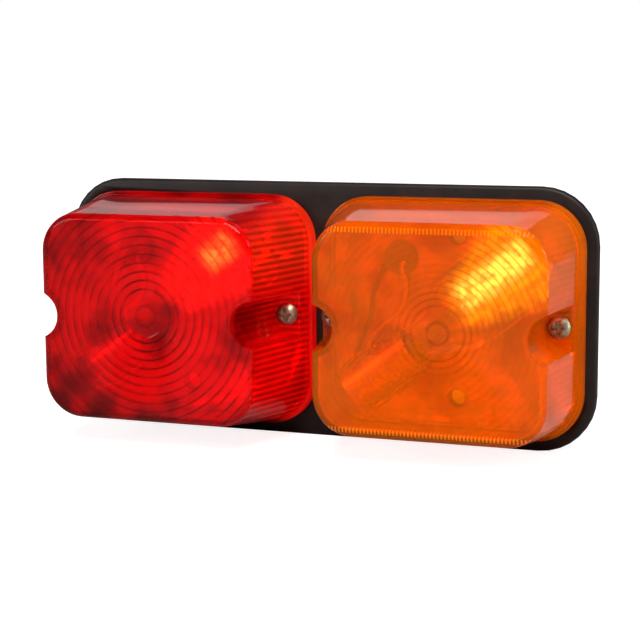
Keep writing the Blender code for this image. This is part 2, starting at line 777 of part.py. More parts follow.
def make_bracket(lamp, side, axis):
    """A sprung steel cradle round the holder's shell, standing on a web and a riveted foot."""
    inner = SHELL_OUTER + GAP
    outer = inner + BRACKET_SHEET
    foot_low = GAP + TRAY_FLOOR - AXIS_DEPTH
    foot_top = foot_low + BRACKET_SHEET
    web_angle = atan2(BRACKET_WEB, sqrt(outer**2 - BRACKET_WEB**2))
    outline = arc(inner, -BRACKET_WRAP, BRACKET_WRAP, 20)
    outline += arc(outer, BRACKET_WRAP, web_angle, 9)
    outline += [
        (foot_top, BRACKET_WEB),
        (foot_top, BRACKET_FOOT),
        (foot_low, BRACKET_FOOT),
        (foot_low, -BRACKET_FOOT),
        (foot_top, -BRACKET_FOOT),
        (foot_top, -BRACKET_WEB),
    ]
    outline += arc(outer, -web_angle, -BRACKET_WRAP, 9)
    name = f"socket_bracket_{lamp}"
    bracket = extruded(name, outline, BRACKET_LENGTH, "zinc_steel", axis, BRACKET_START)
    return drill_rivets(bracket, lamp, side, "bracket")


def make_rivets(lamp, side):
    for name, (x, z, top) in rivet_places(side).items():
        axis = add_axis(f"rivet_axis_{lamp}_{name}", (x, PLATE_FRONT - top - GAP, z), (pi / 2, 0, 0))
        tail = -(top + GAP + RIVET_DEPTH)
        profile = [
            (0, RIVET_HEAD),
            (RIVET_HEAD_RADIUS * 0.6, RIVET_HEAD * 0.85),
            (RIVET_HEAD_RADIUS, 0.3 * RIVET_HEAD),
            (RIVET_HEAD_RADIUS, 0),
            (RIVET_RADIUS, 0),
            (RIVET_RADIUS, tail),
            (0, tail),
        ]
        turned(f"rivet_{lamp}_{name}", profile, "zinc_steel", axis, steps=14)


def make_socket_shell(lamp, axis):
    """The bayonet shell: a tube with a turned-in lip and two angled slots for the cap's pins."""
    lip = SHELL_INNER - SHELL_LIP
    profile = [
        (SHELL_OUTER, SHELL_TOP),
        (SHELL_OUTER, SHELL_BOTTOM),
        (lip, SHELL_BOTTOM),
        (lip, SHELL_BOTTOM + SHELL_WALL),
        (SHELL_INNER, SHELL_BOTTOM + SHELL_WALL),
        (SHELL_INNER, SHELL_TOP),
    ]
    shell = turned(f"socket_shell_{lamp}", profile, "brass", axis, steps=24, closed=True)
    room = PIN_RADIUS + 0.25 * MM
    across = SHELL_OUTER * sin(TWIST)
    for number, (turn, height) in enumerate(pin_places(lamp)):
        low = height - PUSH - room
        high = height + room
        window = (3 * FAR, across + 2 * room, high - low)
        middle = (SHELL_OUTER, across / 2, (low + high) / 2)
        spin = Matrix.Rotation(turn, 4, "Z")
        boolean(shell, block(f"pin_window_{lamp}_{number}", window, middle, axis, spin))
        slot = (3 * FAR, 2 * room, SHELL_TOP + FAR - low - room)
        middle = (SHELL_OUTER, 0, (SHELL_TOP + FAR + low + room) / 2)
        spin = Matrix.Rotation(turn + TWIST, 4, "Z")
        boolean(shell, block(f"pin_slot_{lamp}_{number}", slot, middle, axis, spin))
    return shell


def pin_places(lamp):
    """Each pin's angle about the bulb and its height along it."""
    return ((pi / 2, PIN_Z), (-pi / 2, PIN_Z - PIN_STAGGER[lamp]))


def make_bulb(lamp, axis):
    """The bulb: pinned metal cap, insulating disc with its solder contacts, envelope and filaments."""
    bore = CAP_RADIUS - CAP_WALL
    cap = ring(f"bulb_cap_{lamp}", bore, CAP_RADIUS, CAP_BOTTOM, CAP_TOP, "brass", axis, steps=24)
    for number, (turn, height) in enumerate(pin_places(lamp)):
        reach = SHELL_OUTER - bore - CAP_WALL / 2
        pin = rod(f"cap_pin_{lamp}_{number}", PIN_RADIUS, 0, reach, axis, steps=10)
        start = Vector((bore + CAP_WALL / 2, 0, height))
        spin = Matrix.Rotation(turn, 4, "Z")
        lying = Matrix.Rotation(pi / 2, 4, "Y")
        pin.matrix_local = spin @ Matrix.Translation(start) @ lying
        boolean(cap, pin, "UNION")
    disc_radius = bore - GAP
    disc_top = CAP_BOTTOM + DISC_THICKNESS
    profile = [(0, disc_top), (disc_radius, disc_top), (disc_radius, CAP_BOTTOM), (0, CAP_BOTTOM)]
    disc = turned(f"bulb_disc_{lamp}", profile, "phenolic", axis, steps=24)
    for contact, across in CONTACTS[lamp].items():
        nub = rod(f"nub_{contact}", NUB_RADIUS, NUB_TIP, CAP_BOTTOM + 0.5 * MM, axis, (0, across, 0))
        boolean(disc, nub, "UNION")
    make_glass(lamp, axis, bore - 2 * GAP, disc_top + GAP)
    for number, contact in enumerate(CONTACTS[lamp]):
        make_filament(contact, axis, number, disc_top + GAP)


def make_glass(lamp, axis, neck, foot):
    """A pear-shaped envelope, open at the foot of its neck, where the cap holds it."""
    centre = GLASS_TIP - GLASS_RADIUS
    blend = radians(-52)

    def side_profile(radius, waist, end, steps):
        arc_points = []
        for step in range(steps + 1):
            angle = pi / 2 + (blend - pi / 2) * step / steps
            arc_points.append((max(0, radius * cos(angle)), centre + radius * sin(angle)))
        arc_points[0] = (0, centre + radius)
        return [*arc_points, (waist, CAP_TOP + GAP), (waist, end)]

    outside = side_profile(GLASS_RADIUS, neck, foot, 7)
    inside = side_profile(GLASS_RADIUS - GLASS_WALL, neck - GLASS_WALL, foot, 7)
    turned(f"bulb_glass_{lamp}", outside + inside[::-1], "glass", axis, steps=20)


def make_filament(contact, axis, number, foot):
    """A coiled filament across the top of its two lead wires, which run down to the cap's disc."""
    spread = (2.6 - 0.9 * number) * MM
    height = -7 * number * MM
    depth = (1.6 * number) * MM
    coil = [
        Vector((
            depth + COIL_RADIUS * sin(2 * pi * k / 5),
            spread * (2 * k / (5 * COIL_TURNS) - 1),
            height + COIL_RADIUS * (1 - cos(2 * pi * k / 5)),
        ))
        for k in range(5 * COIL_TURNS + 1)
    ]
    up = [Vector((depth, -spread, foot)), Vector((depth, -spread, height - 1.2 * MM))]
    down = [Vector((depth, spread, height - 1.2 * MM)), Vector((depth, spread, foot))]
    wire(f"filament_{contact}", up + coil + down, LEAD_RADIUS, "tungsten", axis, sides=1)


def make_contacts(lamp, axis):
    """The holder's insulating disc, and each contact's plunger, spring and terminal."""
    holes = []
    for contact, across in CONTACTS[lamp].items():
        place = (0, across, 0)
        stem = PLUNGER_STEM_RADIUS
        head = PLUNGER_TOP - PLUNGER_HEAD
        tail = TERMINAL_BOTTOM - PLUNGER_TAIL
        profile = [(0, PLUNGER_TOP), (PLUNGER_HEAD_RADIUS, PLUNGER_TOP), (PLUNGER_HEAD_RADIUS, head)]
        profile += [(stem, head), (stem, tail), (0, tail)]
        turned(f"contact_plunger_{contact}", profile, "brass", axis, place, steps=12)
        make_spring(contact, axis, across)
        inner = stem + GAP
        low = TERMINAL_BOTTOM
        name = f"contact_terminal_{contact}"
        ring(name, inner, TERMINAL_RADIUS, low, TERMINAL_TOP, "brass", axis, place, steps=12)
        holes.append((contact, place))
    radius = SHELL_INNER - GAP
    profile = [(0, HOLDER_DISC_TOP), (radius, HOLDER_DISC_TOP)]
    profile += [(radius, HOLDER_DISC_BOTTOM), (0, HOLDER_DISC_BOTTOM)]
    disc = turned(f"socket_disc_{lamp}", profile, "phenolic", axis, steps=24)
    for contact, place in holes:
        radius = PLUNGER_STEM_RADIUS + GAP
        low = HOLDER_DISC_BOTTOM - FAR
        boolean(disc, rod(f"stem_hole_{contact}", radius, low, HOLDER_DISC_TOP + FAR, axis, place))


def make_spring(contact, axis, across):
    """A coil spring between the plunger's head and the holder's disc."""
    per_turn = 8
    travel = SPRING_LENGTH - 2 * SPRING_WIRE
    points = []
    for step in range(SPRING_TURNS * per_turn + 1):
        angle = 2 * pi * step / per_turn
        height = SPRING_TOP - SPRING_WIRE - travel * step / (SPRING_TURNS * per_turn)
        points.append((SPRING_RADIUS * cos(angle), across + SPRING_RADIUS * sin(angle), height))
    wire(f"contact_spring_{contact}", points, SPRING_WIRE, "spring_steel", axis, sides=1)


def make_grommet(lamp, side):
    """A rubber bush in the plate with a snug hole for each wire."""
    x, z = grommet_place(side)
    axis = add_axis(f"grommet_axis_{lamp}", (x, PLATE_FRONT, z), (pi / 2, 0, 0))
    top = GAP + GROMMET_FLANGE
    tail = GAP - BASE_THICKNESS
    profile = [
        (0, top + GROMMET_RISE),
        (GROMMET_RADIUS - 0.5 * MM, top + GROMMET_RISE),
        (GROMMET_FLANGE_RADIUS - 0.5 * MM, top),
        (GROMMET_FLANGE_RADIUS, top - 0.6 * MM),
        (GROMMET_FLANGE_RADIUS, GAP),
        (GROMMET_RADIUS, GAP),
        (GROMMET_RADIUS, tail),
        (0, tail),
    ]
    bush = turned(f"cable_grommet_{lamp}", profile, "rubber", axis, steps=20)
    for name in wire_names(lamp):
        hole_x, hole_z = wire_hole(side, name)
        low = -BASE_THICKNESS - FAR
        high = top + GROMMET_RISE + FAR
        boolean(bush, post(f"wire_hole_{lamp}_{name}", hole_x, hole_z, WIRE_RADIUS + GAP, low, high, 10))


def route_points(side, spots):
    """World points from (X, Z, depth) in millimetres, X counted from the middle of the lens's front."""
    middle = side * FRONT_CENTRE
    return [Vector((middle + x * MM, PLATE_FRONT - depth * MM, z * MM)) for x, z, depth in spots]


def into_grommet(side, name, approach):
    """Over the bush's crown from a distance off in X and Z, then straight down its hole."""
    x, z = wire_hole(side, name)
    crown = GAP + GROMMET_FLANGE + GROMMET_RISE
    off_x, off_z = approach
    spots = (
        (x + off_x, z + off_z, crown + 2.2 * MM),
        (x + off_x / 3, z + off_z / 3, crown + 3 * MM),
        (x, z, crown + 1.7 * MM),
        (x, z, crown + 0.1 * MM),
        (x, z, GAP - BASE_THICKNESS),
    )
    return [Vector((spot_x, PLATE_FRONT - depth, spot_z)) for spot_x, spot_z, depth in spots]


def make_feed_wire(contact, side, across, finish):
    """From the terminal behind the holder, round its end, along the tray and out at the grommet."""
    frame = bulb_frame(side)
    start = frame @ Vector((-WIRE_OFFSET, across, TERMINAL_BOTTOM - GAP))
    straight = frame @ Vector((-WIRE_OFFSET - 0.1 * MM, across, TERMINAL_BOTTOM - 2.7 * MM))
    lane = WIRE_LANES[contact]
    middle = route_points(side, ROUTES[lane])
    points = [start, straight, *middle, *into_grommet(side, contact, GROMMET_APPROACH[lane])]
    wire(f"feed_wire_{contact}", smooth_route(points, WIRE_STEP), WIRE_RADIUS, finish)


def make_earth_wire(lamp, side):
    """From the edge of the bracket's foot, in a slack curve over the tray to the grommet."""
    frame = bulb_frame(side)
    low = TRAY_FLOOR + GAP + WIRE_RADIUS - AXIS_DEPTH
    end = BRACKET_START + BRACKET_LENGTH - 1.5 * MM
    start = frame @ Vector((low, -BRACKET_FOOT - GAP, end))
    straight = frame @ Vector((low, -BRACKET_FOOT - 2.4 * MM, end + 0.2 * MM))
    middle = route_points(side, ROUTES["earth"])
    points = [start, straight, *middle, *into_grommet(side, "earth", GROMMET_APPROACH["earth"])]
    wire(f"earth_wire_{lamp}", smooth_route(points, WIRE_STEP), WIRE_RADIUS, "wire_white")


def make_lamp(lamp, side):
    axis = add_axis(f"bulb_axis_{lamp}", light_centre(side), bulb_frame(side).to_euler())
    bpy.context.view_layer.update()
    make_lens(lamp, side)
    make_seal(lamp, side)
    make_lens_screws(lamp, side)
    make_tray(lamp, side)
    make_gutter(lamp, side, axis)
    make_bracket(lamp, side, axis)
    make_rivets(lamp, side)
    make_socket_shell(lamp, axis)
    make_contacts(lamp, axis)
    make_bulb(lamp, axis)
    make_grommet(lamp, side)
    make_earth_wire(lamp, side)
    finishes = {"stop": "wire_red", "tail": "wire_brown", "indicator": "wire_green"}
    for contact, across in CONTACTS[lamp].items():
        make_feed_wire(contact, side, across, finishes[contact])


clear_scene()
parts = new_collection("trailer_tail_light")
cutters = new_collection("cutters")
make_base_plate()
for lamp_name, lamp_side in LAMPS.items():
    make_lamp(lamp_name, lamp_side)
cutters.hide_render = True
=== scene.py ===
"""A two-chamber trailer tail light: clear red and amber lenses over bayonet bulbs and bright troughs.

X runs along the width, Z is up, and the lenses face -Y. A depth is a distance in front of the base
plate's front face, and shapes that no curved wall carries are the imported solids, merged and smoothed.
"""

import json
from math import cos, pi, radians, sin

import bmesh
import bpy
import numpy as np
from mathutils import Matrix, Vector


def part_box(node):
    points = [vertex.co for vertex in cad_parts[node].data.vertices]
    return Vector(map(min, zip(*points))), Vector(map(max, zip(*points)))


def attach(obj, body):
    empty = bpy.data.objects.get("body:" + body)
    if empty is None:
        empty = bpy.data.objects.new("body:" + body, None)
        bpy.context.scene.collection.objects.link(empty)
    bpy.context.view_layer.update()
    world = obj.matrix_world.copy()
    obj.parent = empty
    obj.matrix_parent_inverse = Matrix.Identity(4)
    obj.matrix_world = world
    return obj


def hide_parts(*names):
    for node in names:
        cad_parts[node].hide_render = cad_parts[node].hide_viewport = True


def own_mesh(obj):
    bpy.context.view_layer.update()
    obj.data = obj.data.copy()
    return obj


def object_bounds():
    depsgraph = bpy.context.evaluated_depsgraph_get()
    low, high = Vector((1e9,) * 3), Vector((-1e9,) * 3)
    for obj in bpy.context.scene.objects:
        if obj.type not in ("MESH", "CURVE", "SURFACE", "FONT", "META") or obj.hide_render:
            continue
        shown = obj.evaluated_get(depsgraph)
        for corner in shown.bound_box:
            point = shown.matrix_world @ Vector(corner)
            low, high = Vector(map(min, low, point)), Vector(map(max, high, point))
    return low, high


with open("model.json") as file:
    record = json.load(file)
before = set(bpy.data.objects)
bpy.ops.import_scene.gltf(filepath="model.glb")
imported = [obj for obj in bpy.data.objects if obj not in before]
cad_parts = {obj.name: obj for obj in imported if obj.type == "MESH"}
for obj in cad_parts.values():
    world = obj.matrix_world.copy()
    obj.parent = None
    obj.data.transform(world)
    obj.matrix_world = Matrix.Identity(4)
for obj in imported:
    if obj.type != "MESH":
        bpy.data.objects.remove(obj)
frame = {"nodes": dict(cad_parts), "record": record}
cad_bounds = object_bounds()

MM = 0.001
FAR = 2 * MM

# Lens moulding
PLATE_FRONT = -3.0 * MM
LENS_FOOT = 0.3 * MM  # depth of the flange's underside
FLANGE_HEIGHT = 4 * MM
FLANGE_STEP = 1 * MM
FLANGE_RADIUS = 16.3 * MM
FLANGE_WIDTH = 3 * MM
FRONT_INSET_OUTER = 3.45 * MM
FRONT_INSET_INNER = 7.45 * MM
FRONT_INSET_Z = 3.9 * MM
FRONT_CORNER_RADIUS = 13.6 * MM
FRONT_EDGE_ROUND = 3 * MM
LENS_WALL = 2 * MM
FLANGE_ROUND = 0.5 * MM

# Screw pockets
POCKET_DEPTH = 10 * MM
POCKET_FLOOR = 2.5 * MM
POCKET_RADIUS_FLOOR = 7.9 * MM
POCKET_RADIUS_FRONT = 8 * MM
POCKET_SHIFT = 3.5 * MM
POCKET_PROUD = {"inner": 0.2 * MM, "outer": 1.8 * MM}
BOSS_ROOM_RADIUS = 3.7 * MM
BOSS_ROOM_DEPTH = 7.5 * MM
SCREW_HOLE_RADIUS = 2.3 * MM

# Bulbs
BULB_TILT = radians(38)
CAP_TO_LIGHT = 29 * MM  # the middle of the cap to the light centre

LAMPS = {"red": -1, "amber": 1}


# Meshes


def mesh_object(name, points, faces, smooth_angle=40):
    """A piece from arrays of points and faces, with normals out and edges over the angle sharp."""
    data = bpy.data.meshes.new(name)
    data.from_pydata(points.tolist(), [], faces)
    mesh = bmesh.new()
    mesh.from_mesh(data)
    bmesh.ops.remove_doubles(mesh, verts=mesh.verts, dist=0.002 * MM)
    bmesh.ops.recalc_face_normals(mesh, faces=mesh.faces)
    mesh.to_mesh(data)
    mesh.free()
    data.shade_smooth()
    data.set_sharp_from_angle(angle=radians(smooth_angle))
    thing = bpy.data.objects.new(name, data)
    bpy.context.scene.collection.objects.link(thing)
    return thing


def skin(name, rings, smooth_angle=40):
    """A closed skin through rings of equal point counts: quads between rings, a cap at each end."""
    rings = np.asarray(rings)
    count, around, _ = rings.shape
    index = np.arange(count * around).reshape(count, around)
    after = np.roll(index, -1, axis=1)
    quads = np.stack([index[:-1], after[:-1], after[1:], index[1:]], axis=-1)
    faces = quads.reshape(-1, 4).tolist()
    faces.append(index[0].tolist())
    faces.append(index[-1].tolist())
    return mesh_object(name, rings.reshape(-1, 3), faces, smooth_angle)


def rounded_outline(left, right, half_z, radius, depth, steps=12):
    """One ring: a rectangle with an arc of the radius at each corner, at a depth from the plate."""
    turn = np.linspace(0, pi / 2, steps + 1)
    corners = ((right, half_z, 0), (left, half_z, 1), (left, -half_z, 2), (right, -half_z, 3))
    xs = []
    zs = []
    for x, z, quarter in corners:
        angle = turn + quarter * pi / 2
        xs.append(x - np.sign(x - (left + right) / 2) * radius + radius * np.cos(angle))
        zs.append(z - np.sign(z) * radius + radius * np.sin(angle))
    x = np.concatenate(xs)
    z = np.concatenate(zs)
    return np.stack([x, np.full_like(x, PLATE_FRONT - depth), z], axis=1)


def circle_ring(x, z, radius, depth, steps=64):
    """One ring: a circle about (x, z) at a depth from the plate."""
    angle = np.linspace(0, 2 * pi, steps, endpoint=False)
    depths = np.full(steps, PLATE_FRONT - depth)
    return np.stack([x + radius * np.cos(angle), depths, z + radius * np.sin(angle)], axis=1)


def apply_booleans(thing, cutters, operation="DIFFERENCE"):
    """Cuts the thing with each cutter, keeps the result as its mesh and drops the cutters."""
    for cutter in cutters:
        cut = thing.modifiers.new(cutter.name, "BOOLEAN")
        cut.operation = operation
        cut.solver = "EXACT"
        cut.object = cutter
    bpy.context.view_layer.update()
    evaluated = thing.evaluated_get(bpy.context.evaluated_depsgraph_get())
    made = bpy.data.meshes.new_from_object(evaluated)
    thing.modifiers.clear()
    thing.data = made
    for cutter in cutters:
        bpy.data.objects.remove(cutter, do_unlink=True)
    return thing


def finished_copy(node, smooth_angle=40, bevel=0.0):
    """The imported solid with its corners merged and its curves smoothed, in the solid's place."""
    source = frame["nodes"][node]
    mesh = bmesh.new()
    mesh.from_mesh(source.data)
    bmesh.ops.remove_doubles(mesh, verts=mesh.verts, dist=0.001 * MM)
    bmesh.ops.dissolve_limit(mesh, angle_limit=radians(0.5), verts=mesh.verts, edges=mesh.edges)
    data = bpy.data.meshes.new(node + "_finish")
    mesh.to_mesh(data)
    mesh.free()
    data.shade_smooth()
    data.set_sharp_from_angle(angle=radians(smooth_angle))
    thing = bpy.data.objects.new(node + "_finish", data)
    bpy.context.scene.collection.objects.link(thing)
    if bevel:
        edge = thing.modifiers.new("edge", "BEVEL")
        edge.width = bevel
        edge.segments = 2
        edge.limit_method = "ANGLE"
        edge.angle_limit = radians(smooth_angle)
        edge.harden_normals = True
    return stand_for(thing, node)


def squash_spring(spring):
    """Reads a contact spring's points and gives it its own mesh; the spring keeps its length."""
    points = np.empty(len(spring.data.vertices) * 3)
    spring.data.vertices.foreach_get("co", points)
    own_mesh(spring)


def stand_for(thing, node):
    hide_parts(node)
    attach(thing, body_of_node[node])
    return thing


# Lenses


def lens_frame(lamp):
    """The flange's left and right, and its half height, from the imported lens."""
    low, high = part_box(f"lens_{lamp}")
    return low[0], high[0], high[2]


def flange_ring(lamp, inset, depth):
    left, right, half_z = lens_frame(lamp)
    return rounded_outline(left + inset, right - inset, half_z - inset, FLANGE_RADIUS - inset, depth)


def body_ring(lamp, share, inset, depth):
    """The lens body's ring at a share of its draft, from the flange's top to the front."""
    left, right, half_z = lens_frame(lamp)
    outer = FLANGE_STEP + FRONT_INSET_OUTER * share + inset
    inner = FLANGE_STEP + FRONT_INSET_INNER * share + inset
    more_left, more_right = (inner, outer) if lamp == "amber" else (outer, inner)
    root = FLANGE_RADIUS - FLANGE_STEP
    radius = root + (FRONT_CORNER_RADIUS - root) * share - inset
    high = half_z - FLANGE_STEP - FRONT_INSET_Z * share - inset
    return rounded_outline(left + more_left, right - more_right, high, radius, depth)


def front_depth(lamp):
    return PLATE_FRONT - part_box(f"lens_{lamp}")[0][1]


def front_rings(lamp, wall, steps=8):
    """The rounded front edge, then rings across the flat face that shrink to a small middle."""
    front = front_depth(lamp)
    shoulder = front - FRONT_EDGE_ROUND
    radius = FRONT_EDGE_ROUND - wall
    rings = []
    for angle in np.linspace(0, pi / 2, steps + 1):
        inset = wall + radius * (1 - cos(angle))
        rings.append(body_ring(lamp, 1.0, inset, shoulder + radius * sin(angle)))
    rim = rings[-1]
    middle = rim.mean(axis=0)
    for scale in (0.99, 0.9, 0.6, 0.3, 0.02):
        rings.append(middle + (rim - middle) * scale)
    return rings


def wall_rings(lamp, wall, start, steps=6):
    """The straight drafted wall, in even steps up to the rounded edge."""
    shoulder = front_depth(lamp) - FRONT_EDGE_ROUND
    depths = np.linspace(start, shoulder, steps, endpoint=False)
    shares = (depths - FLANGE_HEIGHT) / (shoulder - FLANGE_HEIGHT)
    return [body_ring(lamp, share, wall, depth) for share, depth in zip(shares, depths)]


def screw_x(lamp, end):
    low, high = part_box(f"lens_screw_{lamp}_{end}")
    return (low[0] + high[0]) / 2


def pocket(lamp, end, floor, more):
    """A round pocket from its floor out past the front, both ends circles, straight between them."""
    side = LAMPS[lamp]
    out = side if end == "outer" else -side
    left, right, _ = lens_frame(lamp)
    flange = right if out > 0 else left
    inset = FRONT_INSET_OUTER if end == "outer" else FRONT_INSET_INNER
    front_x = flange - out * (FLANGE_STEP + inset - POCKET_PROUD[end])
    floor_x = screw_x(lamp, end) + out * POCKET_SHIFT
    front = front_depth(lamp)
    rings = []
    for depth in (floor, front + FAR):
        share = (depth - POCKET_DEPTH) / (front - POCKET_DEPTH)
        x = floor_x + (front_x - floor_x) * share
        radius = POCKET_RADIUS_FLOOR + (POCKET_RADIUS_FRONT - POCKET_RADIUS_FLOOR) * share
        rings.append(circle_ring(x, 0, radius + more, depth))
    return skin(f"pocket_{lamp}_{end}", rings)


def post(x, radius, low, high):
    return skin("post", [circle_ring(x, 0, radius, low), circle_ring(x, 0, radius, high)])


def make_lens(lamp):
    """The moulded lens: rounded flange, drafted walls, rounded front and a pocket in each end."""
    rounding = ((0, 1), (0.13, 0.5), (0.5, 0.13), (1, 0))  # shares of the round, inwards and down
    outside = [
        flange_ring(lamp, 0, LENS_FOOT),
        *(flange_ring(lamp, FLANGE_ROUND * a, FLANGE_HEIGHT - FLANGE_ROUND * b) for a, b in rounding),
        flange_ring(lamp, FLANGE_STEP, FLANGE_HEIGHT),
        *wall_rings(lamp, 0, FLANGE_HEIGHT + 0.3 * MM),
        *front_rings(lamp, 0),
    ]
    lens = skin(f"clear_lens_{lamp}", outside, 30)
    inside = [
        flange_ring(lamp, FLANGE_WIDTH, -FAR),
        flange_ring(lamp, FLANGE_WIDTH, FLANGE_HEIGHT),
        *wall_rings(lamp, LENS_WALL, FLANGE_HEIGHT + 0.3 * MM),
        *front_rings(lamp, LENS_WALL, 4),
    ]
    cavity = skin("cavity", inside, 30)
    cores = [pocket(lamp, end, POCKET_DEPTH - POCKET_FLOOR, LENS_WALL) for end in POCKET_PROUD]
    apply_booleans(cavity, cores)
    cutters = [cavity]
    for end in POCKET_PROUD:
        x = screw_x(lamp, end)
        cutters.append(pocket(lamp, end, POCKET_DEPTH, 0.0))
        cutters.append(post(x, BOSS_ROOM_RADIUS, -FAR, BOSS_ROOM_DEPTH))
        cutters.append(post(x, SCREW_HOLE_RADIUS, 0, POCKET_DEPTH + FAR))
    apply_booleans(lens, cutters)
    lens.data.set_sharp_from_angle(angle=radians(30))
    return stand_for(lens, f"lens_{lamp}")


# Materials


class Value:
    """A number socket that adds Math nodes when it is used in an expression."""

    def __init__(self, paint, socket):
        self.paint = paint
        self.socket = socket

    def calc(self, operation, *others):
        values = [other.socket if isinstance(other, Value) else other for other in others]
        return self.paint.add("Math", {"operation": operation}, dict(enumerate(values)))

    def __add__(self, other):
        return self.calc("ADD", self, other)

    __radd__ = __add__

    def __mul__(self, other):
        return self.calc("MULTIPLY", self, other)

    __rmul__ = __mul__

    def __sub__(self, other):
        return self.calc("SUBTRACT", self, other)

    def __rsub__(self, other):
        return self.calc("SUBTRACT", other, self)

    def __truediv__(self, other):
        return self.calc("DIVIDE", self, other)

    def __pow__(self, other):
        return self.calc("POWER", self, other)

    def __abs__(self):
        return self.calc("ABSOLUTE", self)

    def fraction(self):
        return self.calc("FRACT", self)

    def wave(self, period):
        """From 0 to 1 and back over each period."""
        return self.calc("SINE", self * (2 * pi / period)) * 0.5 + 0.5

    def ramp(self, start, end):
        """0 before start and 1 after end, smooth between; start may be the larger."""
        inputs = {"Value": self.socket, "From Min": start, "From Max": end}
        return self.paint.add("MapRange", {"interpolation_type": "SMOOTHSTEP"}, inputs)


class Paint:
    """One material's nodes, with its Principled shader as the end."""

    def __init__(self, name, **uniform):
        self.material = bpy.data.materials.new(name)
        self.material.use_nodes = True
        self.tree = self.material.node_tree
        self.shader = self.tree.nodes["Principled BSDF"]
        for key, value in uniform.items():
            self.shader.inputs[key.replace("_", " ").title().replace("Ior", "IOR")].default_value = value
        place = self.tree.nodes.new("ShaderNodeTexCoord").outputs["Object"]
        parts = self.tree.nodes.new("ShaderNodeSeparateXYZ")
        self.tree.links.new(place, parts.inputs[0])
        self.place = place
        self.x, self.y, self.z = (Value(self, output) for output in parts.outputs)

    def add(self, kind, settings, inputs, output=0):
        node = self.tree.nodes.new("ShaderNode" + kind)
        for key, value in settings.items():
            setattr(node, key, value)
        for key, value in inputs.items():
            value = value.socket if isinstance(value, Value) else value
            if isinstance(value, bpy.types.NodeSocket):
                self.tree.links.new(value, node.inputs[key])
            else:
                node.inputs[key].default_value = value
        return Value(self, node.outputs[output])

    def mix(self, share, one, other):
        inputs = {"Factor": share, 6: one, 7: other}
        return self.add("Mix", {"data_type": "RGBA"}, inputs, 2)

    def noise(self, size, detail=2.0, roughness=0.5):
        inputs = {"Vector": self.place, "Scale": 1 / size, "Detail": detail, "Roughness": roughness}
        return self.add("TexNoise", {}, inputs)

    def bump(self, height, distance, strength=1.0):
        inputs = {"Strength": strength, "Distance": distance, "Height": height}
        return self.add("Bump", {}, inputs)

    def set(self, **links):
        for key, value in links.items():
            name = key.replace("_", " ").title()
            self.tree.links.new(value.socket, self.shader.inputs[name])
        return self.material


def colour(red, green, blue):
    return (red, green, blue, 1.0)


def band(value, low, high, soft):
    """1 between low and high, fading to 0 over soft outside them."""
    return value.ramp(low - soft, low) * value.ramp(high + soft, high)


# Per lens: the first tone darkens its patterns and serves as painted shade, the second is its own colour,
# the last two are a painted glow and a painted highlight from the trough behind it.
LENS_COLOURS = {
    "red": {
        "deep": colour(0.22, 0.0, 0.001),
        "plain": colour(0.86, 0.001, 0.003),
        "painted_glow": colour(1.0, 0.006, 0.003),
        "painted_highlight": colour(1.0, 0.22, 0.03),
    },
    "amber": {
        "deep": colour(0.50, 0.05, 0.0),
        "plain": colour(0.98, 0.19, 0.0),
        "painted_glow": colour(1.0, 0.30, 0.0),
        "painted_highlight": colour(1.0, 0.72, 0.10),
    },
}
RING_PITCH = {"red": 3.0 * MM, "amber": 2.2 * MM}
RING_OFFSET = {"red": (4.4 * MM, 3.1 * MM), "amber": (1.0 * MM, 4.0 * MM)}  # left of and below the light
PAINTED_HIGHLIGHT_FROM = {"red": 27 * MM, "amber": 12 * MM}  # where the painted highlight's brightest streak begins along the bulb
DUSK = {"red": 0.8, "amber": 0.15}  # how dark the painted shade turns the lens low down and on its left
# How strongly the face shows a painted glow
FACE_GLOW = {"red": 0.16, "amber": 0.05}
SPILL = {"red": 0.3, "amber": 0.08}  # painted glow in the wall on the right of each lens
CLARITY = {"red": 0.2, "amber": 1.0}  # how plainly the edge prisms show, over the ribs and rings
FACE_FADE = (2.6 * MM, 2.0 * MM)  # behind the front, where the face's pattern ends
EYE_EDGE = (7.5 * MM, 6.9 * MM)  # where the rings give way to the plain eye
PUPIL = (3.3 * MM, 3.9 * MM)  # the small circle in the eye
PLAIN_RINGS_END = (17 * MM, 12 * MM)  # the rings round the eye stand out this far
# Where the painted glow and the painted highlight start and end along the bulb
GLOW_START = 10 * MM
GLOW_END = 36 * MM
PAINTED_HIGHLIGHT_END = 34 * MM
PRISM_PITCH = 1.25 * MM
PRISM_ROW = (32.2 * MM, 33.8 * MM)
PRISM_HALF_LENGTH = 38 * MM
RIB_PITCH = 2.1 * MM


def ring_steps(paint, lamp):
    """The rings' radius about their own centre, and a saw-tooth from 0 to 1 over each ring."""
    light = light_centre(lamp)
    left_of, below = RING_OFFSET[lamp]
    away_x = paint.x - (light[0] - left_of)
    away_z = paint.z - (light[2] - below)
    radius = (away_x * away_x + away_z * away_z) ** 0.5
    return radius, (radius / RING_PITCH[lamp]).fraction()


